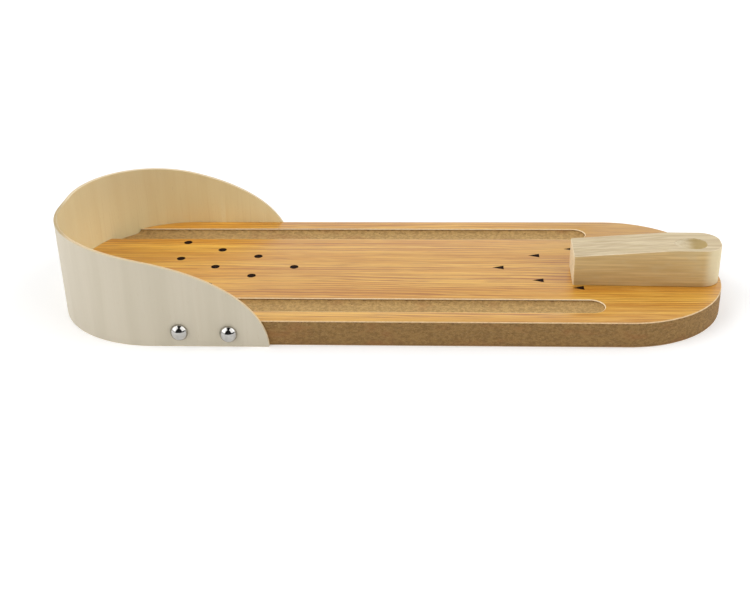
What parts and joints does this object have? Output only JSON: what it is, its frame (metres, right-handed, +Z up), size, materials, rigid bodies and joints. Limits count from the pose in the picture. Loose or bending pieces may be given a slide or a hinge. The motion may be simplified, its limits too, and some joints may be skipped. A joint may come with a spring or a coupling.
{
  "type": "table-top bowling lane",
  "caption": "Wooden table-top bowling lane: laminated board with routed gutters, bent plywood backstop held by dome nails, loose ball ramp.",
  "frame": {"origin": "middle of the board's underside, on the surface it stands on", "axes": "+X along the lane from the pins to the bowler, +Y across the lane, +Z up"},
  "size_m": [0.3017, 0.1194, 0.045],
  "materials": {
    "mdf": "raw routed MDF, matt, fine speckle",
    "lane_laminate": "satin wood-grain laminate, honey pine, grain along the lane",
    "backing_paper": "plain matt backing paper",
    "backstop_ply": "pale sanded plywood, grain upright",
    "nail_chrome": "bright nickel plate",
    "ramp_wood": "pale sanded hardwood, grain lengthwise"
  },
  "bodies": {
    "lane": {"lane_core": "mdf", "lane_surface": "lane_laminate", "underside_backing": "backing_paper", "backstop": "backstop_ply", "dome_nail_left_1": "nail_chrome", "dome_nail_left_2": "nail_chrome", "dome_nail_right_1": "nail_chrome", "dome_nail_right_2": "nail_chrome"},
    "ramp": {"ball_ramp": "ramp_wood"}
  },
  "joints": [
    {"name": "ramp_lift", "type": "slide", "parent": "lane", "child": "ramp", "axis": [0, 0, 1], "range_m": [0, 0.05]}
  ]
}
